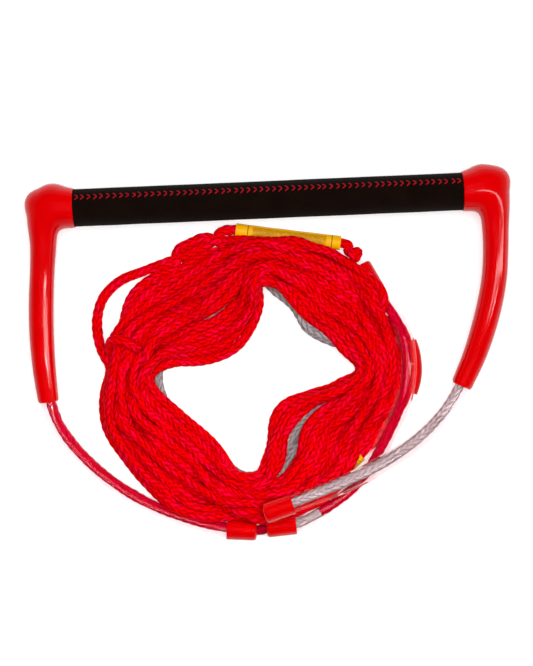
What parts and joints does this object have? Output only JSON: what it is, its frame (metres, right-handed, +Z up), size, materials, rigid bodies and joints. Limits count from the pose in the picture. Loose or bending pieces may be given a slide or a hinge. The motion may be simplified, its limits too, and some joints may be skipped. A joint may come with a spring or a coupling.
{
  "type": "tow rope handle",
  "caption": "Water sports tow handle: suede-wrapped bar between moulded arms, bridle ropes in clear hoses, and a braided tow rope coiled inside.",
  "frame": {"origin": "on the surface the handle lies on, under the middle of the rectangle round the bar, its arms and the bridle", "axes": "+X along the bar, to the right as seen from above with the rope below the bar; +Y from the rope towards the bar; +Z up"},
  "size_m": [0.3851, 0.2902, 0.0405],
  "materials": {
    "aluminium": "drawn tube, plain",
    "foam": "closed-cell foam",
    "suede": "matte microfibre suede",
    "thread": "waxed thread stitches",
    "nylon": "moulded nylon",
    "red_vinyl": "glossy dip-moulded soft vinyl",
    "clear_hose": "clear flexible hose, glossy",
    "red_rope": "braided polyethylene rope",
    "grey_rope": "braided low-stretch rope",
    "label": "thin shrink sleeve, satin"
  },
  "bodies": {
    "bridle_and_rope": {"end_cap_left": "red_vinyl", "end_cap_right": "red_vinyl", "stop_knot_left": "red_rope", "stop_knot_right": "grey_rope", "bridle_hose_left": "clear_hose", "bridle_hose_right": "clear_hose", "bridle_rope_left": "red_rope", "bridle_rope_right": "grey_rope", "bridle_cap_left": "red_vinyl", "bridle_cap_right": "red_vinyl", "leader_cap_lower": "red_vinyl", "leader_cap_upper": "red_vinyl", "leader_hose": "clear_hose", "leader_splice": "grey_rope", "leader_rope": "red_rope", "leader_knot": "red_rope", "main_line_coil": "red_rope", "handle_line_coil": "grey_rope", "free_loop": "red_rope", "label_sleeve_upper_rope": "red_rope", "label_sleeve_lower": "label", "label_sleeve_lower_rope": "red_rope", "boat_loop_guard": "red_vinyl", "boat_loop_rope": "red_rope"},
    "bar": {"bar_tube": "aluminium", "grip_foam": "foam", "grip_wrap": "suede", "grip_seam": "thread", "bar_plug_left": "nylon", "bar_plug_right": "nylon"},
    "upper_label": {"label_sleeve_upper": "label"}
  },
  "joints": [
    {"name": "bar_roll", "type": "hinge", "parent": "bridle_and_rope", "child": "bar", "pos_m": [0.0014, 0.1245, 0.0157], "axis": [1, 0, 0], "continuous": true},
    {"name": "upper_label_slide", "type": "slide", "parent": "bridle_and_rope", "child": "upper_label", "axis": [0.9869, -0.1616, 0], "range_m": [-0.006, 0.003]}
  ]
}
